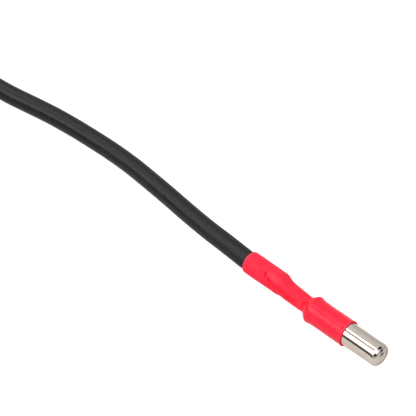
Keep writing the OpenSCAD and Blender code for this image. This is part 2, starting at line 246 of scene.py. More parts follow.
TOP_Z = LIE_Z + PITCH
ENTER = math.radians(80)  # where the cable joins the near fold: square to its run in
turns = np.concatenate([
    turn(OUTER_R, LIE_Z, ENTER, ENTER, INNER_R, shift=(-40, 79)),
    turn(INNER_R, LIE_Z, ENTER, ENTER, last_z=TOP_Z, climb=(-60, 40)),
    turn(INNER_R, TOP_Z, ENTER, ENTER, OUTER_R, shift=(-95, 20)),
    turn(OUTER_R, TOP_Z, ENTER, -math.pi / 2),
])
TAIL_LEN, DROP_FROM = 36, 14.5  # the bare end runs on, and comes down from the upper layer
tail_x = np.linspace(0, TAIL_LEN, 60)
tail_z = PITCH * (1 - even_bend(tail_x, DROP_FROM, TAIL_LEN))
tail = near_fold + np.stack([tail_x, 0 * tail_x - OUTER_R, tail_z], 1)
lead = np.array(route[-1]) + np.linspace(0, LEAD_LEN, 8)[1:-1, None] * lead_dir
run_in = through(held + route + [list(np.array(route[-1]) + 5 * lead_dir)])
run_in = run_in[run_in[:, 0] > route[-1][0] + 0.05]
whole_line = np.concatenate([run_in, [route[-1]], lead, turns, tail])
cable_line, cable_length = resample(over_tie(whole_line), 1.0)
tail_end = cable_line[-1]
print("cable length %.1f mm in %d points" % (cable_length, len(cable_line)))

# %% [markdown]
# A pattern that follows the cable, such as the faint lines of its extrusion, needs coordinates that run
# along it. Unwrapping the finished mesh would cut it up into islands. On a grid the rows and columns
# already are such coordinates, so they are laid down as a UV map: across is the share of the way round,
# and up is the length.

# %% Helper for a UV map on a grid
def lay_uv(piece, rows, cols, along):
    """U runs 0 to 1 round the grid without a jump at the seam, and V is along, each row's length in mm."""
    row = np.repeat(np.arange(rows - 1), cols)[:, None] + np.array([[0, 0, 1, 1]])
    col = np.tile(np.arange(cols), rows - 1)[:, None] + np.array([[0, 1, 1, 0]])
    uv = np.stack([col / cols, along[row]], -1).reshape(-1, 2)
    layer = piece.data.uv_layers.new(name="along")
    full = np.zeros((len(piece.data.loops), 2))
    full[: len(uv)] = uv
    layer.data.foreach_set("uv", full.ravel())


# %% [markdown]
# The jacket is one extruded tube. A curve with a round bevel would do for it, but its rings would be
# turned and spaced by Blender. Here they stand square to the line at even steps, and each end is cut
# square, with a small round where the knife leaves the edge. The same helper makes the insulated cores.

# %% Cable
def flex(name, line, radius, cols, step, edge=0.12):
    """A closed tube along a line: full radius, but smaller by edge in the last edge of its length."""
    path, length = resample(line, step)
    run = np.linspace(0, length, len(path))
    inset = edge * (1 - smooth_step(np.minimum(run, length - run), -edge, edge)) * 2
    rings = tube_points(path, (radius - inset)[:, None], cols)
    piece = to_object(name, rings, grid_faces(len(path), cols) + end_caps(len(path), cols))
    lay_uv(piece, len(path), cols, run)
    return piece


cable = flex("cable_jacket", cable_line, CABLE_R, 36, 0.8)
print("cable faces:", len(cable.data.polygons))

# %% [markdown]
# At the far end the jacket is cut back, and the two cores turn away from each other. Each is bared for
# the last few millimetres, where its strands are twisted and tinned. Solder fills the gaps between the
# strands, so they aren't modelled one by one: the bundle is one skin that dips between them.

# %% Bared cores and tinned strands
CORE_OFF, CORE_R = 0.98, 0.95  # how far a core's middle is from the cable's, and its radius
SPLAY, SPLAY_R, STRAIGHT = math.radians(10), 12.0, 3.0
CORE_LEN, TINNED_LEN, WIRE_R = 13.0, 5.0, 0.5


def core_line(side, count=361):
    """Straight for STRAIGHT, round an arc of SPLAY_R through SPLAY, then straight again."""
    s = np.linspace(0, CORE_LEN + TINNED_LEN, count)
    turned = np.clip((s - STRAIGHT) / SPLAY_R, 0, SPLAY)
    rest = np.clip(s - STRAIGHT - SPLAY_R * SPLAY, 0, None)
    x = np.minimum(s, STRAIGHT) + SPLAY_R * np.sin(turned) + rest * math.cos(SPLAY)
    y = CORE_OFF + SPLAY_R * (1 - np.cos(turned)) + rest * math.sin(SPLAY)
    return s, tail_end + np.stack([x, side * y, 0 * s], 1)


def strands(name, line, radius, count=7, turns=1.6):
    """A twist of count strands: the radius swells and dips count times round, and the pattern turns
    as it goes along, so the bundle reads as one soldered rope. The last 0.35 mm draws in to half."""
    path, length = resample(line, 0.08)
    run = np.linspace(0, length, len(path))
    cols = 12 * count
    angle = np.linspace(0, 2 * np.pi, cols, endpoint=False)[None, :]
    lay = angle - (2 * np.pi * turns * run / length)[:, None]
    dip = 0.2 * (1 - np.abs(np.cos(count * lay / 2))) ** 1.4
    blunt = 1 - 0.5 * smooth_step(run, length - 0.35, length) ** 2
    rings = tube_points(path, radius * (1 - dip) * blunt[:, None], cols)
    return to_object(name, rings, grid_faces(len(path), cols) + end_caps(len(path), cols))


wire_pieces = []
for letter, side in (("a", 1), ("b", -1)):
    s, line = core_line(side)
    insulated = flex("tail_insulation_" + letter, line[s <= CORE_LEN + 1e-6], CORE_R, 28, 0.25, edge=0.06)
    bare = strands("tinned_strands_" + letter, line[s >= CORE_LEN - 1e-6], WIRE_R)
    wire_pieces.append((letter, insulated, bare))
print("wires:", [piece.name for _, *pair in wire_pieces for piece in pair])

# %% [markdown]
# The tie that holds the hank is one nylon moulding: a strap with fine cross teeth, a square head that
# locks it, and the stub left where the spare strap was snipped off. The strap is a section carried round
# the bundle, as a curve would do it, but the teeth are only on its outside, so it is a grid. Head and
# stub are plain blocks on the real one too, and a Bevel modifier rounds their edges.

# %% Hank tie
TIE_W, TIE_T, TIE_FIT = 3.6, 1.1, 0.1  # width and thickness of the strap, and its gap to the cable
BUNDLE_H = 2 * LIE_Z + PITCH
BUNDLE_W = 2 * (WAIST_Y - (INNER_R + WAIST_R - OUTER_R - CABLE_R))
STRAP_H = BUNDLE_H + 2 * TIE_FIT


def rounded_loop(half_w, low, high, radius, count=160):
    """Points round a rounded rectangle in Y and Z, evenly spaced by length."""
    corner = np.linspace(0, np.pi / 2, 16)
    parts = []
    for k, (cy, cz) in enumerate(((half_w - radius, high - radius), (radius - half_w, high - radius),
                                  (radius - half_w, low + radius), (half_w - radius, low + radius))):
        a = corner + k * np.pi / 2
        parts.append(np.stack([0 * a, cy + radius * np.cos(a), cz + radius * np.sin(a)], 1))
    loop = np.concatenate(parts + [parts[0][:1]])
    run = np.concatenate([[0], np.cumsum(np.linalg.norm(np.diff(loop, axis=0), axis=1))])
    marks = np.linspace(0, run[-1], count, endpoint=False)
    return np.stack([np.interp(marks, run, loop[:, i]) for i in range(3)], 1)


def strap():
    """A rounded section carried round the bundle. Each point of it is a share of the way from the inner
    loop to the outer one, and in the middle of the outside that share dips by 0.11 at each tooth."""
    per_tooth, teeth = 8, 60
    count = per_tooth * teeth
    inner = rounded_loop(BUNDLE_W / 2 + TIE_FIT, TIE_T, TIE_T + STRAP_H, CABLE_R, count)
    outer = rounded_loop(BUNDLE_W / 2 + TIE_FIT + TIE_T, 0, 2 * TIE_T + STRAP_H, CABLE_R + TIE_T, count)
    half, round_r, toothed = TIE_W / 2, 0.22, 0.9
    corner = np.linspace(0, np.pi / 2, 5)
    across = half - round_r + round_r * np.concatenate([np.sin(corner), np.cos(corner)])
    deep = round_r / TIE_T
    depth = np.concatenate([1 - deep * (1 - np.cos(corner)), deep * (1 - np.sin(corner))])
    across = np.concatenate([[-toothed, 0, toothed], across, [toothed, 0, -toothed], -across[::-1]])
    depth = np.concatenate([[1, 1, 1], depth, [0, 0, 0], depth[::-1]])
    tooth = 0.5 + 0.5 * np.cos(np.arange(count) * 2 * np.pi / per_tooth)
    middle = (np.abs(across) <= toothed) & (depth == 1)
    share = depth[None, :] - 0.11 * tooth[:, None] * middle[None, :]
    points = inner[:, None] + share[..., None] * (outer - inner)[:, None]
    points[..., 0] = across[None, :]
    points += hank_mid * np.array([1, 1, 0])
    return to_object("tie_strap", points[:, ::-1], grid_faces(count, len(across), ring=True))


def rounded_block(name, low, high, radius):
    """A box between two corners, with its edges rounded by a bevel of three steps."""
    lo, hi = np.minimum(low, high), np.maximum(low, high)
    corners = np.array([[x, y, z] for x in (lo[0], hi[0]) for y in (lo[1], hi[1]) for z in (lo[2], hi[2])])
    faces = [(0, 1, 3, 2), (4, 6, 7, 5), (0, 4, 5, 1), (2, 3, 7, 6), (0, 2, 6, 4), (1, 5, 7, 3)]
    piece = to_object(name, corners, faces, smooth=False)
    bevel = piece.modifiers.new("rounded edges", "BEVEL")
    bevel.width, bevel.segments = radius * MM, 3
    return piece


tie = strap()
strap_top = hank_mid * [1, 1, 0] + [0, 0, 2 * TIE_T + STRAP_H]
HEAD_X, HEAD_Y, HEAD_H, STUB_H = TIE_W / 2 + 0.8, 2.7, 2.99, 4.05
head = rounded_block("tie_head", strap_top + [-HEAD_X, -HEAD_Y, -0.3],
                     strap_top + [HEAD_X, HEAD_Y, HEAD_H], 0.45)
stub = rounded_block("tie_stub", strap_top + [-TIE_W / 2, -TIE_T / 2, HEAD_H - 0.39],
                     strap_top + [TIE_W / 2, TIE_T / 2, STUB_H], 0.12)
print("tie top at %.2f mm" % (strap_top[2] + STUB_H))

# %% [markdown]
# The cap is deep drawn from thin stainless sheet: a straight side, a tight corner and a very shallow
# dome. A lathe modifier would make it too, but a grid lets the corner differ from side to side, as the
# real one does. The half section is turned about the axis, outside and inside, into one closed skin.
# A thin brown line just inside the end's edge is painted on as a dark reflection. How strong it is at
# each point is kept as an attribute, so that the metal's material can read it.

# %% Metal cap
AXIS_Y, AXIS_Z = -0.28, 3.56
TIP_X, MOUTH_X, FRONT_X = 22.2, -0.1, 11.6  # tip and mouth of the cap, and front end of the sleeve
CAP_R, WALL, DOME = 3.0, 0.3, 0.15
BELL_LEN, BELL_R, MOUTH_R = 1.6, 3.03, 3.2  # the side widens slightly towards the mouth
POLE_R = 0.04  # the grid stops this far from the axis, and a flat face closes it


def cap_end(r, long, deep, tip_x, steps=14):
    """From near the axis outwards, for each column: the shallow dome is part of a large circle, and the
    corner that joins it to the side is a quarter of an ellipse, so long along the cap and so deep."""
    flat = r - deep
    dome_r = (flat**2 + DOME**2) / (2 * DOME)
    across = POLE_R + (flat - POLE_R) * np.linspace(0, 1, steps)[:, None]
    dome_x = tip_x - dome_r + np.sqrt(dome_r**2 - across**2)
    a = np.linspace(np.pi / 2, 0, 24)[1:, None]
    return (np.concatenate([dome_x, tip_x - DOME - long + long * np.sin(a)]),
            np.concatenate([across, flat + deep * np.cos(a)]))


def cap():
    """Rings about the axis, outside from the tip to the mouth and back along the inside. The corner was
    drawn in unevenly: above it is rounder, 1.9 by 1.3 mm, and elsewhere it is a tight 1.1 mm. An
    attribute holds a painted dark reflection: a bell across a line on the end, which lies 1.5 mm from the
    axis on the far and lower side, comes nearer to the edge on both sides of that, and fades out before it
    is half round."""
    cols = 144
    angle = np.linspace(0, 2 * np.pi, cols, endpoint=False)
    rounder = np.exp(-((angle - math.radians(120)) / math.radians(60)) ** 2)
    long, deep = 1.1 + 0.8 * rounder, 1.1 + 0.2 * rounder
    out_x, out_r = cap_end(CAP_R, long, deep, TIP_X)
    in_x, in_r = cap_end(CAP_R - WALL, long - WALL, deep - WALL, TIP_X - WALL)
    # the side in three stretches: to the sleeve, to the bell, and to the rounded rim of the mouth
    lip = MOUTH_X + 0.08
    bell = MOUTH_X + BELL_LEN
    side = np.concatenate([np.linspace(k, k + 1, n)[1:] for k, n in enumerate((30, 12, 8))])[:, None]
    start = out_x[-1:]
    side_x = np.where(side < 1, start + (FRONT_X - start) * side,
                      np.interp(side, [1, 2, 3], [FRONT_X, bell, lip]) + 0 * angle)
    side_r = np.interp(side_x, [MOUTH_X, bell, FRONT_X, TIP_X], [MOUTH_R, BELL_R, CAP_R, CAP_R])
    rim_x = np.array([MOUTH_X + 0.02, MOUTH_X, MOUTH_X, MOUTH_X + 0.02])[:, None] + 0 * angle
    rim_r = np.array([3.17, 3.12, 2.78, 2.72])[:, None] + 0 * angle
    bore_x = lip + (in_x[-1:] - lip) * np.linspace(0, 1, 30)[:-1, None]
    x = np.concatenate([out_x, side_x, rim_x, bore_x, in_x[::-1]])
    r = np.concatenate([out_r, side_r, rim_r, 0 * bore_x + CAP_R - WALL, in_r[::-1]])
    points = np.stack([x, AXIS_Y + r * np.cos(angle), AXIS_Z + r * np.sin(angle)], -1)
    # columns run backwards, because that is what turns the faces outwards here
    piece = to_object("metal_cap", points[:, ::-1], grid_faces(len(x), cols) + end_caps(len(x), cols))
    # the painted dark reflection along the end's outline, as a brown line
    off_low = 1 - np.cos(angle - math.radians(310))  # 0 on the far and lower side, 2 opposite
    line_r, width = 1.5 + 0.5 * off_low**3, 0.42 - 0.12 * off_low
    here = smooth_step(x, TIP_X - 1.7, TIP_X - 0.9) * (1 - smooth_step(off_low, 0.9, 1.45))
    painted_outline_reflection = np.exp(-((r - line_r) / width) ** 2) * here
    values = piece.data.attributes.new("painted_outline_reflection", "FLOAT", "POINT").data
    values.foreach_set("value", painted_outline_reflection[:, ::-1].ravel())
    return piece


metal_cap = cap()
print("cap box:", [[round(v / MM, 2) for v in c] for c in (metal_cap.bound_box[0], metal_cap.bound_box[6])])

# %% [markdown]
# The shrink sleeve is the piece that shows most. It was a loose tube that drew in as it was heated, so
# it grips the cap and the jacket, falls in over the two thin cores between them, and swells where the
# belled mouth of the cap pushes it out. Cloth simulation could shrink a tube over those parts, but the
# result is hard to steer. Here the half width that the picture shows at each place is written down. It
# is shared out between the radius of a section and how far the section's two halves stand apart, because
# in the neck they lie over two cores side by side.

# %% Sleeve profile
TOWARD_Y = 0.832  # share of a step along Y by which an outline moves in the picture
SLANT_AT = math.radians(110)  # side on which the rear end of the sleeve reaches furthest back
GRIP_GAP = 0.02
NECK_END = -2.9


def middle_at(x):
    """The middle moves from the jacket's to the cap's in three steps: most of it right in front of the
    cable's end, some along the neck, and the rest where the sleeve swells over the mouth."""
    steps = ((0.55, -11.8, -7.4), (0.26, -8.8, -2.3), (0.19, -2.0, -1.1))
    t = sum(share * smooth_step(x, start, end) for share, start, end in steps)
    return EXIT_Y + (AXIS_Y - EXIT_Y) * t, EXIT_Z + (AXIS_Z - EXIT_Z) * t


# place along the probe and half width of the sleeve: rear part, neck, swelling, front part
seen_x, seen_half = np.array([
    (-22.2, 2.9), (-20.3, 2.92), (-17.3, 2.9), (-15.8, 2.88), (-13.1, 2.87), (-12.5, 2.86), (-11.5, 2.9),
    (-11.0, 2.83), (-10.5, 2.7), (-10.0, 2.56), (-9.5, 2.45), (-8.9, 2.4), (-8.3, 2.37), (-7.1, 2.34),
    (-5.3, 2.3), (-3.3, 2.23), (-2.5, 2.19), (-2.1, 2.19), (-1.7, 2.26), (-1.3, 2.47), (-0.9, 2.9),
    (-0.5, 3.23), (-0.1, 3.5), (0.3, 3.6), (0.7, 3.54), (1.1, 3.46), (1.5, 3.41), (2.2, 3.38),
    (3.7, 3.33), (6.7, 3.35), (8.2, 3.36), (11.6, 3.37),
]).T


def seen_at(x):
    """The half width in the picture, evened by a bell-shaped mean about 0.4 mm wide."""
    reach = 30
    fine = np.linspace(REAR_X - 1, FRONT_X + 1, 1400)
    raw = np.pad(np.interp(fine, seen_x, seen_half), reach, mode="edge")
    kernel = np.exp(-0.5 * (np.arange(-reach, reach + 1) * (fine[1] - fine[0]) / 0.15) ** 2)
    return np.interp(x, fine, np.convolve(raw, kernel / kernel.sum(), mode="valid"))


def outer_at(x):
    """Radius of the outside. In the neck it is the seen half width less what the parted halves add to
    it. From there it rises by 2.2 mm to the swelling in one even step, which is gentler than the sides."""
    neck = seen_at(x) - TOWARD_Y * CORE_OFF * smooth_step(x, JACKET_END, -7.4)
    rise = 1.39 + 2.2 * smooth_step(x, NECK_END, 0.35)
    return np.where(x < NECK_END, neck, np.minimum(seen_at(x), rise))


def parted_at(x):
    """How far the two halves of a section stand apart: the rest of the seen half width."""
    return (seen_at(x) - outer_at(x)) / TOWARD_Y


def inner_at(x):
    """Radius of the inside: the outside less the wall, which is 0.36 mm and 0.45 mm in the neck, but
    never less than what it grips and GRIP_GAP. That is the cap, the jacket or the two cores."""
    wall = 0.36 + 0.09 * parted_at(x) / CORE_OFF
    cap_side = np.interp(x, [MOUTH_X, MOUTH_X + BELL_LEN, FRONT_X], [MOUTH_R, BELL_R, CAP_R])
    grip = np.where(x > MOUTH_X - 0.05, cap_side, CORE_R + 0.02)
    grip = np.where(x < JACKET_END + 0.05, CABLE_R, grip) + GRIP_GAP
    return np.maximum(grip, outer_at(x) - wall)


for x in (-20.0, -11.0, -8.0, -5.0, -2.0, -0.5, 0.5, 6.0):
    x = np.array([x])
    print("at %5.1f: outside %.2f, wall %.2f" % (x[0], outer_at(x)[0], (outer_at(x) - inner_at(x))[0]))

# %% [markdown]
# Each crease is a small bell-shaped dent or swelling at a place on the skin: where along the probe, how
# far round it, how long, how wide and how high. The low waves are sums of a few long sines, as tubing
# that shrank unevenly has. Both are part of the mesh and not of the bump, because they catch the light
# and change the outline. A deep narrow fold also looks a stronger red than a render at this size makes
# it, so each crease also paints light and shade into the colour: painted shade in a dent and a painted
# highlight on a swelling. That painted shading is kept as an attribute, which the material reads.

# %% Sleeve skin
creases = np.array([
    # along, round (degrees), length, width (degrees), height (dent below 0), painted light (shade below 0)
    # a hooked fold where the neck meets the swelling, on the side that faces the camera
    [-1.9, 121, 0.35, 7, -0.12, -1.6],
    [-1.4, 119, 0.25, 6, -0.20, -1.8],
    [-1.0, 116, 0.25, 5, -0.20, -1.6],
    [-0.6, 118, 0.18, 4, -0.20, -1.6],
    [-0.3, 123, 0.16, 4, -0.20, -1.6],
    [0.0, 131, 0.16, 5, -0.20, -1.6],
    [0.1, 138, 0.18, 6, -0.12, -1.0],
    [0.3, 121, 0.25, 6, 0.06, 0.5],
    [1.2, 126, 0.6, 8, 0.04, 0.3],
    # two dents and a lump on the rear part, where the jacket ends inside
    [-15.2, 125, 0.25, 5, -0.12, -1.2],
    [-14.9, 134, 0.28, 6, -0.12, -1.0],
    [-14.5, 122, 0.4, 8, 0.04, 0.5],
    [-13.7, 142, 0.35, 7, -0.12, -1.0],
    [-13.2, 124, 0.8, 11, 0.06, 0.5],
    [-11.8, 129, 0.9, 11, 0.06, 0.5],
    # a shallow furrow from there along the neck
    [-12.2, 151, 1.1, 11, -0.04, -0.4],
    [-9.8, 147, 1.3, 15, -0.03, -0.42],
    [-7.6, 142, 1.3, 17, -0.03, -0.45],
    [-5.6, 133, 1.2, 17, -0.03, -0.45],
    [-3.8, 123, 1.1, 15, -0.03, -0.45],
    # a faint dent, two low swellings on the bell, and two dents on the far side below
    [-17.9, 92, 0.6, 12, -0.03, -0.3],
    [0.2, 40, 0.4, 20, 0.05, 0.0],
    [0.4, 215, 0.4, 22, 0.05, 0.0],
    [-1.5, 300, 0.7, 18, -0.15, -1.0],
    [-11.9, 310, 0.6, 16, -0.10, -1.0],
])


def folds_at(x, angle):
    """Heights of the creases above the profile and their painted shading: two sums of the same bell shapes.
    """
    height, painted_shading = 0 * x * angle, 0 * x * angle
    for along, about, long_r, wide, tall, shade in creases:
        turn_off = (np.degrees(angle) - about + 180) % 360 - 180
        bell = np.exp(-0.5 * ((x - along) / long_r) ** 2 - 0.5 * (turn_off / wide) ** 2)
        height, painted_shading = height + tall * bell, painted_shading + shade * bell
    return height, np.clip(painted_shading, -1, 1)


def waves_at(x, angle):
    """Low waves of 0.02 mm from four sines, which run along and round at different rates."""
    waves = (0.5 * np.sin(1.7 * x + 2 * angle + 0.6) + 0.35 * np.sin(2.9 * x - 3 * angle + 2.1)
             + 0.3 * np.sin(0.8 * x + 5 * angle + 4.0) + 0.25 * np.sin(4.3 * x + 4 * angle + 1.2))
    return 0.016 * waves


def sleeve_section(x, radius, angle, slant):
    """A round of that radius whose right half moves right and left half left by the parting, so that a
    flat joins them above and below. The rear end is cut out of square by slant."""
    cy, cz = middle_at(x)
    parted = parted_at(x) * np.tanh(np.cos(angle) * 6)
    cut_back = slant * (0.25 + 0.32 * (1 - np.cos(angle - SLANT_AT)))
    return np.stack([x + cut_back, cy + parted + radius * np.cos(angle), cz + radius * np.sin(angle)], -1)


EDGE = 0.14  # length over which a cut end is rounded
COLS = 180
round_angle = np.linspace(0, 2 * np.pi, COLS, endpoint=False)[None, :]
lip_angle = np.linspace(0, np.pi, 9)[:, None]


def lip_rings(at, way, outer, inner):
    """A cut end: a rounded outer edge, then flat down to a sharp inner edge."""
    middle, half = (outer + inner) / 2, (outer - inner) / 2
    out = way * EDGE * np.sin(np.minimum(lip_angle, np.pi / 2))
    return (at + out + 0 * round_angle)[1:-1], (middle + half * np.cos(lip_angle))[1:-1]


def painted_shading_outside(x, angle):
    """Painted shading that follows the shape: a painted highlight on the two thin rims, and painted
    shade where the tubing is drawn in behind the swelling, much weaker below the hooked fold, and on a
    small patch on top where the swelling rises."""
    # painted highlights on the two rims
    front = 1.3 * np.exp(-((x - FRONT_X + 0.22) / 0.13) ** 2)
    rear = np.exp(-((x - REAR_X - 0.2) / 0.16) ** 2)
    # painted shade behind the swelling, less below the hooked fold, and on a patch on top
    less = 1 - 0.65 * smooth_step(angle, math.radians(120), math.radians(142))
    painted_shade_behind_swelling = -0.85 * less * np.exp(-((x + 1.8) / 0.7) ** 2)
    painted_shade_on_top = -0.55 * np.exp(-((x + 0.7) / 0.45) ** 2 - ((angle - math.radians(88)) / 0.26) ** 2)
    return front + rear + (painted_shade_behind_swelling + painted_shade_on_top)


def sleeve():
    """One closed grid: outside from the rear to the front, a rounded lip, back along the inside, and a
    lip again. Rows stand closer at the front rim and where the outline changes fast."""
    angle = round_angle
    out_x = np.unique(np.concatenate([
        np.linspace(REAR_X + EDGE, FRONT_X - EDGE, 150), np.linspace(-13.5, -9.5, 40),
        np.linspace(-3.2, 1.6, 60), np.linspace(FRONT_X - 0.8, FRONT_X - EDGE, 12)]))[:, None]
    in_x = np.linspace(FRONT_X, REAR_X, 80)[:, None]
    # creases and waves die away at the cut ends, and a low bead stands behind the front one
    ends = smooth_step(out_x, REAR_X, REAR_X + 1.2) * (1 - smooth_step(out_x, FRONT_X - 0.8, FRONT_X))
    folds, shade = (part * ends for part in folds_at(out_x, angle))
    bead = 0.07 * np.exp(-0.5 * ((out_x - FRONT_X + 0.3) / 0.13) ** 2)
    out_r = outer_at(out_x) + folds + waves_at(out_x, angle) * ends + bead
    in_r = np.minimum(inner_at(in_x), outer_at(in_x) - 0.2) + 0 * angle
    front_x, front_r = lip_rings(FRONT_X - EDGE, 1, out_r[-1:], in_r[:1])
    rear_x, rear_r = lip_rings(REAR_X + EDGE, -1, out_r[:1], in_r[-1:])
    x = np.concatenate([out_x + 0 * angle, front_x, in_x + 0 * angle, rear_x[::-1]])
    r = np.concatenate([out_r, front_r, in_r, rear_r[::-1]])
    # the front end is slightly wavy and cut out of square, and so is the rear one by its slant
    waves = ((0.06, 3, 0.7), (0.02, 7, 2.0), (0.015, 13, 0.0))
    wave = sum(tall * np.sin(times * angle + turned) for tall, times, turned in waves)
    out_of_square = 0.15 * (1 + np.cos(angle - math.radians(70)))
    x = x + (wave - out_of_square) * smooth_step(x, FRONT_X - 0.9, FRONT_X)
    slant = 1 - smooth_step(x, REAR_X, REAR_X + 6)
    piece = to_object("red_sleeve", sleeve_section(x, r, angle, slant), grid_faces(len(x), COLS, ring=True))
    # painted light and shade: a lip has a painted highlight at its outer edge and painted shade where
    # it turns in, and the inside is painted in shade all over
    lip = (1 - 2 * smooth_step(lip_angle, math.radians(5), math.radians(65)) + 0 * angle)[1:-1]
    painted_shading = np.concatenate([shade + painted_shading_outside(out_x, angle), lip, 0 * in_r - 1, lip[::-1]])
    piece.data.attributes.new("painted_shading", "FLOAT", "POINT").data.foreach_set("value", painted_shading.ravel())
    return piece


red_sleeve = sleeve()
print("sleeve faces:", len(red_sleeve.data.polygons))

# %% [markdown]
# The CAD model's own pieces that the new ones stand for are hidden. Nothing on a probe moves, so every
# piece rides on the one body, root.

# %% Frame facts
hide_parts("cable", "cable_hank", "cable_tail")
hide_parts("hank_tie")
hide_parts("sheath")
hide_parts("shrink_sleeve")
for letter, insulated, bare in wire_pieces:
    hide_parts("tail_core_" + letter)
    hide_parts("tinned_end_" + letter)
wires = [piece for _, *pair in wire_pieces for piece in pair]
for piece in [cable, tie, head, stub, metal_cap, red_sleeve] + wires:
    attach(piece, "root")
print("declared the cable of %.3f m" % (cable_length * MM))

# %% [markdown]
# Nodes can be laid out by hand in the shader editor, and an image could carry the patterns. Here every
# material is written as nodes, because they have no resolution and can be read. One function adds a
# node, sets its values and joins its inputs. Colours are written as sRGB hex, as a screen shows them,
# and turned to linear in one place.

# %% Helpers for materials
def linear(hex_colour):
    """sRGB hex to linear RGBA: v / 12.92 below 0.04045, else ((v + 0.055) / 1.055) to the power 2.4."""
    srgb = np.array([int(hex_colour[i:i + 2], 16) for i in (1, 3, 5)]) / 255
    values = np.where(srgb <= 0.04045, srgb / 12.92, ((srgb + 0.055) / 1.055) ** 2.4)
    return (*values.tolist(), 1.0)


def add(tree, kind, settings=(), **joined):
    """Adds a node of that kind. Settings are its properties, or its inputs by name or number. Joined
    inputs are given as name=(node, output), with spaces in a name written as underscores, or as n0 and
    n1 where a node's inputs share one name."""
    node = tree.nodes.new(kind)
    for key, value in dict(settings).items():
        if isinstance(key, int) or key in node.inputs:
            node.inputs[key].default_value = value
        else:
            setattr(node, key, value)
    for key, (source, output) in joined.items():
        by_number = key[0] == "n" and key[1:].isdigit()
        target = node.inputs[int(key[1:]) if by_number else key.replace("_", " ")]
        tree.links.new(source.outputs[output], target)
    return node


def new_material(name, **shader):
    """A material with a Principled shader and its output. Returns it with its tree and shader."""
    material = bpy.data.materials.new(name)
    material.use_nodes = True
    tree = material.node_tree
    tree.nodes.clear()
    surface = add(tree, "ShaderNodeBsdfPrincipled", {k.replace("_", " "): v for k, v in shader.items()})
    add(tree, "ShaderNodeOutputMaterial", Surface=(surface, "BSDF"))
    return material, tree, surface


def join(tree, source, output, shader, socket):
    """Joins a node's output to a socket of the shader, which new_material has already made."""
    tree.links.new(source.outputs[output], shader.inputs[socket])


def wear(piece, material):
    """Gives a piece one material."""
    piece.data.materials.clear()
    piece.data.materials.append(material)


# %% [markdown]
# The sleeve is red heat-shrink polyolefin, extruded, stretched and shrunk again by hot air. That leaves
# it semi-gloss where it lies tight on the smooth cap and duller to the rear, and slightly uneven: lumps
# of half a millimetre with a finer grain of a tenth. A single red would look like paint, so two close
# reds are mixed by the lumps. An attribute of the mesh paints shade into the folds and painted
# highlights onto the lumps and the rims.

# %% Red heat-shrink tubing
def shrink_tubing():
    """Two reds are mixed by a soft noise. The painted shading of each point, from -1 to 1, then paints shade
    into the folds and makes them duller, and paints highlights on the lumps and the cut rims. Height comes
    from both noises. A noise makes lumps of about half of one over its scale, so 900 gives 0.55 mm and
    5200 gives 0.1 mm."""
    material, tree, shader = new_material("red_heat_shrink", IOR=1.46, Specular_IOR_Level=0.18,
                                          Sheen_Weight=0.05)
    place = add(tree, "ShaderNodeTexCoord")
    cloud = add(tree, "ShaderNodeTexNoise", {"Scale": 900.0, "Detail": 3.0}, Vector=(place, "Object"))
    grain = add(tree, "ShaderNodeTexNoise", {"Scale": 5200.0, "Detail": 2.0}, Vector=(place, "Object"))
    colour = add(tree, "ShaderNodeValToRGB", Fac=(cloud, "Fac"))
    for stop, (at, red) in zip(colour.color_ramp.elements, ((0.3, "#FC1B3C"), (0.7, "#FF2946"))):
        stop.position, stop.color = at, linear(red)
    painted_shading = add(tree, "ShaderNodeAttribute", {"attribute_name": "painted_shading"})
    below_0 = {"From Min": 0.0, "From Max": -1.0}
    up = add(tree, "ShaderNodeMapRange", {"To Max": 0.5}, Value=(painted_shading, "Fac"))
    down = add(tree, "ShaderNodeMapRange", {**below_0, "To Max": 1.0}, Value=(painted_shading, "Fac"))
    # a painted highlight on the lumps and the rims, and painted shade in the folds and inside
    painted_highlight_mix = add(tree, "ShaderNodeMixRGB", {"Color2": linear("#FF5A70")}, Fac=(up, 0), Color1=(colour, 0))
    painted_shade_mix = add(tree, "ShaderNodeMixRGB", {"Color2": linear("#F0001E")}, Fac=(down, 0), Color1=(painted_highlight_mix, 0))
    join(tree, painted_shade_mix, "Color", shader, "Base Color")
    low = add(tree, "ShaderNodeBump", {"Strength": 0.4, "Distance": 0.3 * MM}, Height=(cloud, "Fac"))
    fine = add(tree, "ShaderNodeBump", {"Strength": 0.12, "Distance": 0.05 * MM},
               Height=(grain, "Fac"), Normal=(low, "Normal"))
    join(tree, fine, "Normal", shader, "Normal")
    # roughness 0.68 over the jacket and 0.24 over the cap, and up to 0.6 more in the folds
    axes = add(tree, "ShaderNodeSeparateXYZ", Vector=(place, "Object"))
    rough = add(tree, "ShaderNodeMapRange", {"From Min": -12 * MM, "From Max": 1 * MM, "To Min": 0.68,
                                             "To Max": 0.24}, Value=(axes, "X"))
    dull = add(tree, "ShaderNodeMapRange", {**below_0, "To Max": 0.6}, Value=(painted_shading, "Fac"))
    rougher = add(tree, "ShaderNodeMath", {"operation": "ADD", "use_clamp": True},
                  n0=(rough, 0), n1=(dull, 0))
    join(tree, rougher, "Value", shader, "Roughness")
    return material


wear(red_sleeve, shrink_tubing())

# %% [markdown]
# The cap is polished stainless steel, drawn and then tumbled bright. It mirrors the studio in a warm
# grey, blurred a little by fine lines that run along it from the drawing die. Such metal is told by what
# it mirrors, so most of its look comes from the lamps and boards below. Dark marks on the rounded end
# are painted into its colour as dark reflections, and an attribute of the mesh paints a brown dark
# reflection along the end's outline.

# %% Drawn stainless steel
PAINTED_DARK_REFLECTIONS = [  # centre, radius and darkness of each painted dark reflection on the rounded end
    ((22.10, -0.42, 4.92), 0.58, 0.95),
    ((21.84, -0.40, 5.88), 0.45, 0.9),
    ((21.95, -0.73, 5.63), 0.5, 0.45),
    ((22.10, -0.95, 4.80), 0.55, 0.6),
    ((21.30, -2.22, 5.53), 0.66, 0.9),
    ((20.5, 1.1, 6.2), 0.3, 0.5),
    # a broad, faint painted dark reflection over the end face
    ((22.05, 0.60, 4.90), 1.4, 0.18),
]


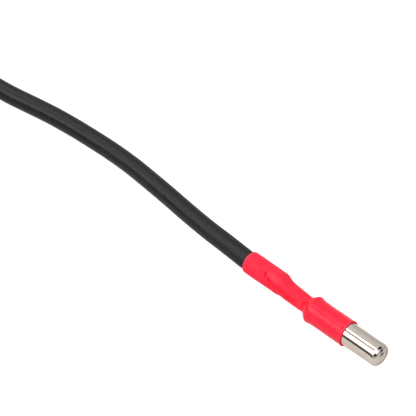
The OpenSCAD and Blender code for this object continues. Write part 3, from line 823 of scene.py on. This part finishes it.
def drawn_steel():
    """A metal with a low roughness that varies in streaks along X, and very low bumps from the same
    streaks: noise stretched 40 times along the probe. Each painted dark reflection is darkest up to 0.4 of
    its radius. The painted reflection along the end's outline is brown, and also rougher and less metallic,
    because it lies where the end is seen at a low angle, and a bright metal mirrors white there whatever
    its colour is."""
    material, tree, shader = new_material("polished_stainless_steel", Metallic=1.0, Roughness=0.09)
    place = add(tree, "ShaderNodeTexCoord")
    stretched = add(tree, "ShaderNodeMapping", {"Scale": (0.025, 1.0, 1.0)}, Vector=(place, "Object"))
    streaks = add(tree, "ShaderNodeTexNoise", {"Scale": 4200.0, "Detail": 3.0}, Vector=(stretched, "Vector"))
    clouds = add(tree, "ShaderNodeTexNoise", {"Scale": 500.0, "Detail": 2.0}, Vector=(place, "Object"))
    colour = add(tree, "ShaderNodeValToRGB", Fac=(clouds, "Fac"))
    for stop, (at, grey) in zip(colour.color_ramp.elements, ((0.3, "#CAC0B3"), (0.7, "#D2C9BE"))):
        stop.position, stop.color = at, linear(grey)
    # painted dark reflections, mixed into the colour
    for centre, radius, amount in PAINTED_DARK_REFLECTIONS:
        middle = tuple(v * MM for v in centre)
        off = add(tree, "ShaderNodeVectorMath", {"operation": "DISTANCE", 1: middle}, n0=(place, "Object"))
        near = add(tree, "ShaderNodeMapRange", {"From Min": radius * MM, "From Max": 0.4 * radius * MM,
                                                "To Max": amount}, Value=(off, "Value"))
        colour = add(tree, "ShaderNodeMixRGB", {"Color2": linear("#2A241F")},
                     Fac=(near, 0), Color1=(colour, 0))
    # a painted brown dark reflection along the end's outline
    painted_outline_reflection = add(tree, "ShaderNodeAttribute", {"attribute_name": "painted_outline_reflection"})
    some = add(tree, "ShaderNodeMath", {"operation": "MULTIPLY", 1: 0.8}, n0=(painted_outline_reflection, "Fac"))
    painted_outline_mix = add(tree, "ShaderNodeMixRGB", {"Color2": linear("#8A6E58")}, Fac=(some, 0), Color1=(colour, 0))
    join(tree, painted_outline_mix, "Color", shader, "Base Color")
    metal = add(tree, "ShaderNodeMapRange", {"To Min": 1.0, "To Max": 0.3}, Value=(painted_outline_reflection, "Fac"))
    join(tree, metal, "Result", shader, "Metallic")
    rough = add(tree, "ShaderNodeMapRange", {"To Min": 0.05, "To Max": 0.09}, Value=(streaks, "Fac"))
    duller = add(tree, "ShaderNodeMapRange", {"To Max": 0.4}, Value=(painted_outline_reflection, "Fac"))
    rougher = add(tree, "ShaderNodeMath", {"operation": "ADD"}, n0=(rough, 0), n1=(duller, 0))
    join(tree, rougher, "Value", shader, "Roughness")
    bump = add(tree, "ShaderNodeBump", {"Strength": 0.05, "Distance": 0.03 * MM}, Height=(streaks, "Fac"))
    join(tree, bump, "Normal", shader, "Normal")
    return material


wear(metal_cap, drawn_steel())

# %% [markdown]
# The jacket is extruded soft PVC, black and matte. Extrusion leaves faint lines along it and a very fine
# grain. The real grain is too fine to show in the render, so it is drawn coarser here, as mottles of
# about 0.3 mm. Both patterns follow the cable by its UV map, whose unit along is a millimetre. Close to
# the sleeve it is a little duller, probably because the hot air that shrank the sleeve reached it too.

# %% Black PVC jacket
ROUND_MM = 15.4  # once round the jacket, which makes a unit of U as long as one of V
HEATED = {"From Min": 18.0, "From Max": 28.0}  # mm from the jacket's end, of which the sleeve hides 11


def pvc_jacket():
    """Two near-blacks mixed by the grain, which also sets the roughness, 0.26 to 0.36, and up to 0.14
    more where hot air reached it. Height comes from lines stretched 50 times along and from the grain."""
    material, tree, shader = new_material("black_pvc_jacket", IOR=1.5, Specular_IOR_Level=0.18)
    place = add(tree, "ShaderNodeUVMap", {"uv_map": "along"})
    lined = add(tree, "ShaderNodeMapping", {"Scale": (ROUND_MM, 0.02, 1.0)}, Vector=(place, "UV"))
    lines = add(tree, "ShaderNodeTexNoise", {"Scale": 3.0, "Detail": 3.0}, Vector=(lined, "Vector"))
    spread = add(tree, "ShaderNodeMapping", {"Scale": (ROUND_MM, 1.0, 1.0)}, Vector=(place, "UV"))
    grain = add(tree, "ShaderNodeTexNoise", {"Scale": 1.7, "Detail": 5.0}, Vector=(spread, "Vector"))
    colour = add(tree, "ShaderNodeValToRGB", Fac=(grain, "Fac"))
    for stop, (at, black) in zip(colour.color_ramp.elements, ((0.35, "#121112"), (0.7, "#282728"))):
        stop.position, stop.color = at, linear(black)
    join(tree, colour, "Color", shader, "Base Color")
    rough = add(tree, "ShaderNodeMapRange", {"To Min": 0.26, "To Max": 0.36}, Value=(grain, "Fac"))
    axes = add(tree, "ShaderNodeSeparateXYZ", Vector=(place, "UV"))
    heated = add(tree, "ShaderNodeMapRange", {**HEATED, "To Min": 0.14, "To Max": 0.0}, Value=(axes, "Y"))
    rougher = add(tree, "ShaderNodeMath", {"operation": "ADD"}, n0=(rough, 0), n1=(heated, 0))
    join(tree, rougher, "Value", shader, "Roughness")
    low = add(tree, "ShaderNodeBump", {"Strength": 0.1, "Distance": 0.1 * MM}, Height=(lines, "Fac"))
    fine = add(tree, "ShaderNodeBump", {"Strength": 0.16, "Distance": 0.05 * MM},
               Height=(grain, "Fac"), Normal=(low, "Normal"))
    join(tree, fine, "Normal", shader, "Normal")
    return material


wear(cable, pvc_jacket())

# %% [markdown]
# The small parts share three kinds of finish: moulded or extruded plastic, tinned or bare wire, and cast
# resin. Each could have a tree of its own, but they are small, so one function makes them all: a mottled
# finish from two close colours, so that none of them is flat. The parts inside the cap and the sleeve
# are the CAD model's own. They only get a material each.

# %% Small finishes
def mottled(name, dark, light, roughness, grain_mm, bump=0.1, metallic=0.0):
    """Two colours mixed by a noise that repeats about every grain_mm, with low bumps from it: their
    height is a fifth of grain_mm, times the strength bump."""
    material, tree, shader = new_material(name, Roughness=roughness, Metallic=metallic)
    place = add(tree, "ShaderNodeTexCoord")
    grain = add(tree, "ShaderNodeTexNoise", {"Scale": 1 / (grain_mm * MM), "Detail": 3.0},
                Vector=(place, "Object"))
    colour = add(tree, "ShaderNodeValToRGB", Fac=(grain, "Fac"))
    for stop, (at, shade) in zip(colour.color_ramp.elements, ((0.35, dark), (0.65, light))):
        stop.position, stop.color = at, linear(shade)
    join(tree, colour, "Color", shader, "Base Color")
    height = add(tree, "ShaderNodeBump", {"Strength": bump, "Distance": 0.2 * grain_mm * MM},
                 Height=(grain, "Fac"))
    join(tree, height, "Normal", shader, "Normal")
    return material


nylon = mottled("black_nylon_moulding", "#141414", "#1D1D1D", 0.42, 0.5)
brown_pvc = mottled("brown_core_insulation", "#4A281A", "#573020", 0.4, 0.6)
blue_pvc = mottled("blue_core_insulation", "#1C4A96", "#2557A8", 0.4, 0.6)
tin = mottled("tinned_strands", "#B9B7B2", "#D0CEC9", 0.28, 0.3, 0.2, metallic=1.0)
for piece in (tie, head, stub):
    wear(piece, nylon)
for letter, insulated, bare in wire_pieces:
    wear(insulated, brown_pvc if letter == "a" else blue_pvc)
    wear(bare, tin)
inside = {
    "potting": mottled("cast_epoxy_resin", "#262320", "#302C28", 0.3, 1.5),
    "thermistor_bead": mottled("epoxy_coated_bead", "#101010", "#191817", 0.25, 0.8),
    "thermistor_lead": tin,
    "solder_joint": mottled("solder", "#B4B4B0", "#C9C9C6", 0.3, 0.4, 0.2, metallic=1.0),
    "joint_sleeve": mottled("ivory_sleeving", "#DDD7C6", "#E8E3D4", 0.5, 0.5),
    "conductor": mottled("bare_copper", "#B4704F", "#C98462", 0.3, 0.3, 0.2, metallic=1.0),
    "core_a": brown_pvc,
    "core_b": blue_pvc,
}
for node_name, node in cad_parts.items():
    finish = inside.get(node_name) or inside.get(node_name[:-2])
    if finish:
        wear(node, finish)
        print(node_name, "->", finish.name)

# %% [markdown]
# The floor is white paper. It is lit like any surface, so the probe leaves a soft shadow on it, and it
# also glows for the camera, which lifts it to the picture's clean white without more light on the probe.
# The world does the same. Reflections have levels of their own in both, so that the metal shows a pale
# studio, and all other light is even, stronger from behind than from the front.

# %% Floor and world
def white_paper():
    """A pale matte, plus a glow for three kinds of ray: the camera's, reflected and transmitted ones."""
    material = bpy.data.materials.new("white_paper")
    material.use_nodes = True
    tree = material.node_tree
    tree.nodes.clear()
    matte = add(tree, "ShaderNodeBsdfDiffuse", {"Color": (0.8, 0.8, 0.8, 1.0)})
    rays = add(tree, "ShaderNodeLightPath")
    levels = {"Is Camera Ray": 0.72, "Is Glossy Ray": 0.16, "Is Transmission Ray": 0.35}
    seen, shiny, clear = (add(tree, "ShaderNodeMath", {"operation": "MULTIPLY", 1: level}, n0=(rays, kind))
                          for kind, level in levels.items())
    some = add(tree, "ShaderNodeMath", {"operation": "ADD"}, n0=(shiny, 0), n1=(clear, 0))
    total = add(tree, "ShaderNodeMath", {"operation": "ADD"}, n0=(seen, 0), n1=(some, 0))
    glow = add(tree, "ShaderNodeEmission", Strength=(total, 0))
    both = add(tree, "ShaderNodeAddShader", n0=(matte, 0), n1=(glow, 0))
    add(tree, "ShaderNodeOutputMaterial", Surface=(both, 0))
    return material


FLOOR_HALF = 3000.0
corners = FLOOR_HALF * np.array([[-1, -1, 0], [1, -1, 0], [1, 1, 0], [-1, 1, 0]])
floor = to_object("paper_floor", corners, [(0, 1, 2, 3)], smooth=False)
wear(floor, white_paper())
floor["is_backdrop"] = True
TENT = {"From Max": 0.9, "To Min": 0.57, "To Max": 0.92}  # by the height that a reflection looks to
EVEN_LIGHT = {"From Min": -1.0, "To Min": 0.3, "To Max": 0.95}  # from the front to the back


def studio():
    """White for camera and transmitted rays. Reflected rays see a tent that is duller at the horizon than
    above. All other rays get the even light."""
    world = bpy.data.worlds.new("studio")
    bpy.context.scene.world = world
    world.use_nodes = True
    tree = world.node_tree
    tree.nodes.clear()
    rays = add(tree, "ShaderNodeLightPath")
    place = add(tree, "ShaderNodeTexCoord")
    axes = add(tree, "ShaderNodeSeparateXYZ", Vector=(place, "Generated"))
    tent = add(tree, "ShaderNodeMapRange", TENT, Value=(axes, "Z"))
    even = add(tree, "ShaderNodeMapRange", EVEN_LIGHT, Value=(axes, "Y"))
    seen = add(tree, "ShaderNodeMath", {"operation": "ADD", "use_clamp": True},
               n0=(rays, "Is Camera Ray"), n1=(rays, "Is Transmission Ray"))
    plain = add(tree, "ShaderNodeMix", A=(even, "Result"), Factor=(rays, "Is Glossy Ray"), B=(tent, "Result"))
    level = add(tree, "ShaderNodeMix", {"B": 1.0}, Factor=(seen, 0), A=(plain, "Result"))
    air = add(tree, "ShaderNodeBackground", {"Color": (1, 1, 1, 1)}, Strength=(level, "Result"))
    add(tree, "ShaderNodeOutputWorld", Surface=(air, "Background"))


studio()

# %% [markdown]
# Two long soft boxes hang over the probe, side by side along it, and give all the direct light. Their own
# reflections are switched off. What the metal and the plastics mirror is a set of boards, which only
# reflections see, so that each reflection can be placed without changing the light. This is how a
# product is lit in a real studio: white cards and black flags stand round it, just outside the picture.
# Each board is placed by its angle about the probe, from +Y up, because on a long round thing that angle
# decides where across it the reflection lies.

# %% Soft boxes
def softbox(name, angle, width, distance, along, strength):
    """An area light seen at that angle about the probe, from +Y up. Its power is its radiance times pi
    times its area, so strength is how bright it looks beside white, which is 1."""
    data = bpy.data.lights.new(name, "AREA")
    data.shape = "RECTANGLE"
    data.size, data.size_y = along[1] - along[0], width
    data.energy = strength * math.pi * data.size * data.size_y
    lamp = bpy.data.objects.new(name, data)
    bpy.context.scene.collection.objects.link(lamp)
    out = Vector((0, math.cos(math.radians(angle)), math.sin(math.radians(angle))))
    lamp.location = out * distance + Vector(((along[0] + along[1]) / 2, 0, 0))
    lamp.rotation_euler = (math.radians(angle) - math.pi / 2, 0, 0)
    lamp.visible_glossy = False
    return lamp


lamps = [softbox("top_box", 96, width=0.108, distance=0.5, along=(-0.9, 0.12), strength=2.2),
         softbox("front_box", 136.6, width=0.265, distance=0.5, along=(-0.9, 0.2), strength=2.15)]
print("soft boxes:", [lamp.name for lamp in lamps])

# %% [markdown]
# Along the cap the picture shows two white bands with a grey one between them, and a dark line low at the
# front. So top_face and front_face are bright, gap_board between them glows dimly, and front_board is
# dark. The first three start 400 mm behind the tip. Further back rear_face takes their place, which
# gives the black jacket one broad sheen. Past the tip joining_board makes the two bands run together on
# the rounded end, and three dark mark boards make small dark reflections there.

# %% Boards for the reflections
BOARD_OFF = 600.0


def board(name, colour, glow, corners):
    """A board that only reflections see. Each corner is an angle about the probe, from +Y up, and how far
    past the tip it is, as a share of the BOARD_OFF that it is away."""
    angle, past = np.radians([a for a, _ in corners]), np.array([p for _, p in corners])
    points = np.stack([TIP_X + BOARD_OFF * past, BOARD_OFF * np.cos(angle), BOARD_OFF * np.sin(angle)], 1)
    piece = to_object(name, points, [(0, 1, 2, 3)], smooth=False)
    material, _, shader = new_material(name, Roughness=0.9)
    for socket in ("Base Color", "Emission Color"):
        shader.inputs[socket].default_value = linear(colour)
    shader.inputs["Emission Strength"].default_value = glow
    wear(piece, material)
    piece.visible_camera = piece.visible_diffuse = piece.visible_shadow = False
    piece.visible_transmission = False
    piece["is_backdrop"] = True


BOARDS = [
    # name, colour, glow, corners
    ("front_board", "#55463C", 0, ((176, -2.5), (176, 0.1), (159, 0.1), (159, -2.5))),
    ("top_face", "#FFFFFF", 4.4, ((91, -0.66), (101.5, -0.66), (101.5, 0.2), (91, 0.2))),
    ("gap_board", "#D8CFC6", 0.38, ((101.5, -0.66), (122.8, -0.66), (122.8, 0.02), (101.5, 0.02))),
    ("rear_face", "#FFFFFF", 2.9, ((60, -1.85), (140, -1.85), (140, -0.66), (60, -0.66))),
    ("front_face", "#FFFFFF", 4.4, ((122.8, -0.66), (150.3, -0.66), (150.3, 0.36), (122.8, 0.36))),
    ("joining_board", "#FFFFFF", 4.4, ((101.5, 0.02), (122.8, 0.02), (132, 0.95), (100, 0.95))),
    ("low_mark_board", "#3A2E26", 0, ((138, 0.38), (153, 0.38), (153, 1.2), (138, 1.2))),
    ("top_mark_board", "#120E0C", 0, ((90, 0.13), (50, 0.03), (46, 0.75), (80, 0.62))),
    ("end_mark_board", "#2A211B", 0, ((48, 0.95), (8, 1.2), (4, 2.2), (60, 2.0))),
]
for row in BOARDS:
    board(*row)
bpy.context.scene.view_settings.view_transform = "Standard"
print("boards:", [name for name, *_ in BOARDS])

# %% [markdown]
# At the end both boxes are written down, the CAD model's and the finished scene's, in metres, so that a
# piece which has grown out of its place is noticed.

# %% Sizes and finish
scene_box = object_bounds()
for label, box in (("CAD", cad_box), ("scene", scene_box)):
    print(label, [[round(v / MM, 2) for v in c] for c in box])
